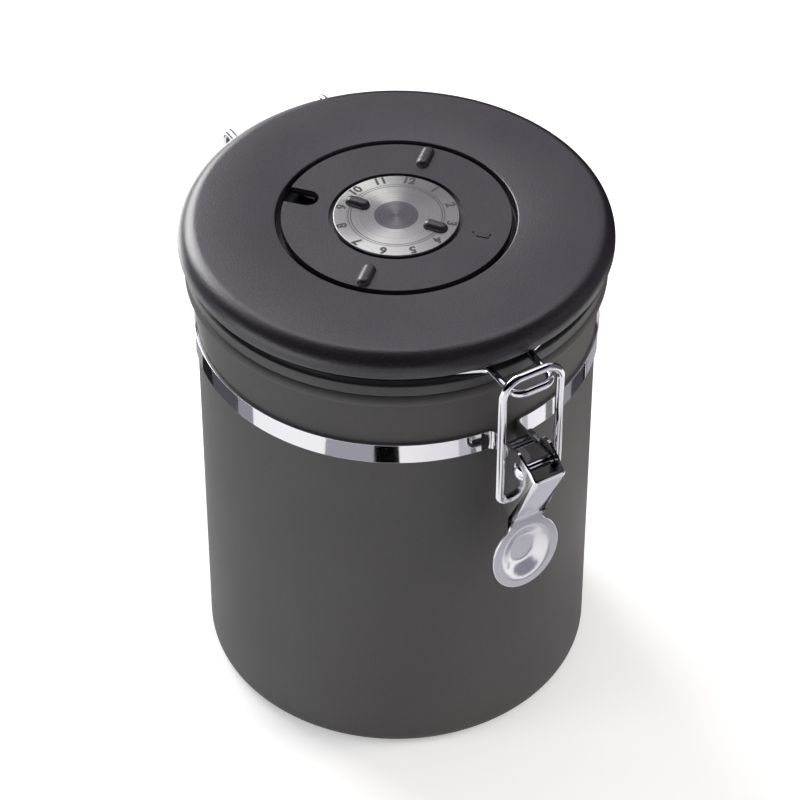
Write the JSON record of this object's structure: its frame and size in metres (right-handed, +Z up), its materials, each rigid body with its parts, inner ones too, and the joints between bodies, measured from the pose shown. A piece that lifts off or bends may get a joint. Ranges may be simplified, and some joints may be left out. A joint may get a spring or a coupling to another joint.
{
  "type": "food canister with clamp lid",
  "caption": "Round steel food canister with a wire-held lid, over-centre latch, turning date dial and one-way gas valve.",
  "frame": {"origin": "centre of the base, on the surface that the canister stands on", "axes": "+Z up along the can's axis, the latch on the -Y side, the lid's hinge on the +Y side, +X to the right of the latch"},
  "size_m": [0.1314, 0.1651, 0.1692],
  "materials": {
    "coated_steel": "matt anthracite powder coat",
    "bright_steel": "polished",
    "screw_steel": "plain bright",
    "lid_plastic": "fine moulded grain",
    "seal_silicone": "soft translucent white",
    "scale_print": "smooth, printed",
    "dial_metal": "circular brushed",
    "valve_plastic": "smooth",
    "filter_felt": "fine felt"
  },
  "bodies": {
    "canister": {"can_body": "coated_steel", "neck_band": "bright_steel", "clamp_screw": "screw_steel", "clamp_nut": "screw_steel", "hinge_bracket": "bright_steel", "lever_pin": "bright_steel"},
    "lever": {"latch_lever": "bright_steel"},
    "loop": {"latch_loop": "bright_steel"},
    "bail": {"bail_wire": "bright_steel"},
    "lid": {"lid_base": "lid_plastic", "lid_gasket": "seal_silicone", "lid_cap": "lid_plastic", "lid_screws": "screw_steel", "day_scale": "scale_print", "valve_body": "valve_plastic", "valve_cap": "valve_plastic", "valve_filter": "filter_felt"},
    "ring": {"day_ring": "lid_plastic"},
    "dial": {"dial_carrier": "lid_plastic", "dial_plate": "dial_metal", "dial_washer": "lid_plastic", "dial_screw": "screw_steel"},
    "valve": {"valve_disc": "seal_silicone"}
  },
  "joints": [
    {"name": "latch_lever_hinge", "type": "hinge", "parent": "canister", "child": "lever", "pos_m": [0, -0.0779, 0.1277], "axis": [-1, 0, 0], "range_deg": [0, 130]},
    {"name": "latch_loop_hinge", "type": "hinge", "parent": "lever", "child": "loop", "pos_m": [0, -0.0747, 0.1152], "axis": [1, 0, 0], "range_deg": [0, 170]},
    {"name": "lid_hinge", "type": "hinge", "parent": "canister", "child": "bail", "pos_m": [0, 0.075, 0.1277], "axis": [-1, 0, 0], "range_deg": [0, 105]},
    {"name": "lid_turn", "type": "hinge", "parent": "bail", "child": "lid", "pos_m": [0, 0, 0.158], "axis": [0, 0, 1], "continuous": true},
    {"name": "day_ring_turn", "type": "hinge", "parent": "lid", "child": "ring", "pos_m": [0, 0, 0.166], "axis": [0, 0, 1], "continuous": true},
    {"name": "month_dial_turn", "type": "hinge", "parent": "lid", "child": "dial", "pos_m": [0, 0, 0.166], "axis": [0, 0, 1], "continuous": true},
    {"name": "valve_lift", "type": "slide", "parent": "lid", "child": "valve", "axis": [0, 0, 1], "range_m": [0, 0.0008]}
  ],
  "couplings": [
    {"joint": "latch_loop_hinge", "follows": "latch_lever_hinge", "ratio": 1.3}
  ]
}
